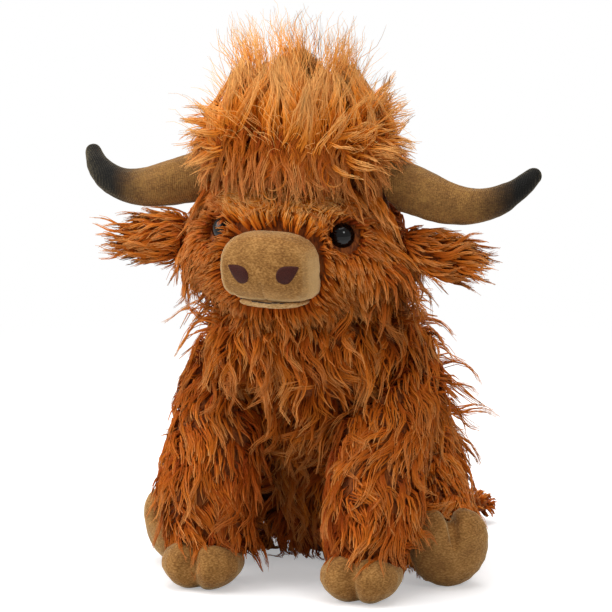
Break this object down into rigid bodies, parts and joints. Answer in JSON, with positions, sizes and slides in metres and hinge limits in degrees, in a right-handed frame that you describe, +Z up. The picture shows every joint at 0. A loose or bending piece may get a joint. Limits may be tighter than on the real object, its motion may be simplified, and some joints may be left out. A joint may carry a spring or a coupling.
{
  "type": "seated plush cow",
  "caption": "Seated long-haired plush cow with a stuffed body, a head with horns and a tall forelock, furry legs with cloven hooves, and sewn joints that bend and spring back.",
  "frame": {"origin": "on the surface that the toy sits on, under the middle of its bounding box", "axes": "+Z up, -Y the way the cow looks, +X the cow's left side"},
  "size_m": [0.2178, 0.2012, 0.2496],
  "materials": {
    "fur_fabric": "rust-orange long-pile faux fur",
    "velboa": "tan short-pile velboa",
    "horn_velboa": "tan velboa, airbrushed nearly black towards the tip",
    "dark_thread": "dark brown embroidery thread",
    "black_plastic": "polished black moulded plastic",
    "washer_plastic": "natural white polyethylene",
    "fibre_filling": "white polyester fibre",
    "cotton": "plain woven brown cotton"
  },
  "bodies": {
    "torso": {"body": "fur_fabric", "body_filling": "fibre_filling", "bead_pouch": "cotton", "base_panel": "cotton"},
    "head": {"head": "fur_fabric", "head_filling": "fibre_filling", "forelock": "fur_fabric", "muzzle": "velboa", "lower_lip": "velboa", "mouth_thread": "dark_thread", "nostril_left": "dark_thread", "nostril_right": "dark_thread", "eye_left": "black_plastic", "eye_right": "black_plastic", "eye_washer_left": "washer_plastic", "eye_washer_right": "washer_plastic", "horn_left": "horn_velboa", "horn_right": "horn_velboa"},
    "left_ear": {"ear_left": "fur_fabric"},
    "right_ear": {"ear_right": "fur_fabric"},
    "left_front_leg": {"front_leg_left": "fur_fabric", "front_hoof_left": "velboa"},
    "right_front_leg": {"front_leg_right": "fur_fabric", "front_hoof_right": "velboa"},
    "left_hind_leg": {"hind_leg_left": "fur_fabric", "hind_hoof_left": "velboa"},
    "right_hind_leg": {"hind_leg_right": "fur_fabric", "hind_hoof_right": "velboa"},
    "tail": {"tail": "fur_fabric", "tail_tuft": "fur_fabric"}
  },
  "joints": [
    {"name": "neck_turn", "type": "hinge", "parent": "torso", "child": "head", "pos_m": [0, -0.03092, 0.118], "axis": [0, 0, 1], "range_deg": [-15, 15], "stiffness_Nm_per_rad": 0.06},
    {"name": "left_ear_swing", "type": "hinge", "parent": "head", "child": "left_ear", "pos_m": [0.0465, -0.05242, 0.1575], "axis": [0, 0, 1], "range_deg": [-25, 25], "stiffness_Nm_per_rad": 0.003},
    {"name": "right_ear_swing", "type": "hinge", "parent": "head", "child": "right_ear", "pos_m": [-0.0465, -0.05242, 0.1575], "axis": [0, 0, -1], "range_deg": [-25, 25], "stiffness_Nm_per_rad": 0.003},
    {"name": "left_shoulder_swing", "type": "hinge", "parent": "torso", "child": "left_front_leg", "pos_m": [0.038, -0.03292, 0.09], "axis": [-1, 0, 0], "range_deg": [-4, 30], "stiffness_Nm_per_rad": 0.06},
    {"name": "right_shoulder_swing", "type": "hinge", "parent": "torso", "child": "right_front_leg", "pos_m": [-0.038, -0.03292, 0.09], "axis": [-1, 0, 0], "range_deg": [-4, 30], "stiffness_Nm_per_rad": 0.06},
    {"name": "left_hip_splay", "type": "hinge", "parent": "torso", "child": "left_hind_leg", "pos_m": [0.029, 0.02708, 0.0275], "axis": [0, 0, 1], "range_deg": [0, 22], "stiffness_Nm_per_rad": 0.04},
    {"name": "right_hip_splay", "type": "hinge", "parent": "torso", "child": "right_hind_leg", "pos_m": [-0.029, 0.02708, 0.0275], "axis": [0, 0, -1], "range_deg": [0, 22], "stiffness_Nm_per_rad": 0.04},
    {"name": "tail_wag", "type": "hinge", "parent": "torso", "child": "tail", "pos_m": [0, 0.07208, 0.034], "axis": [0, 0, 1], "range_deg": [-25, 25], "stiffness_Nm_per_rad": 0.003}
  ]
}
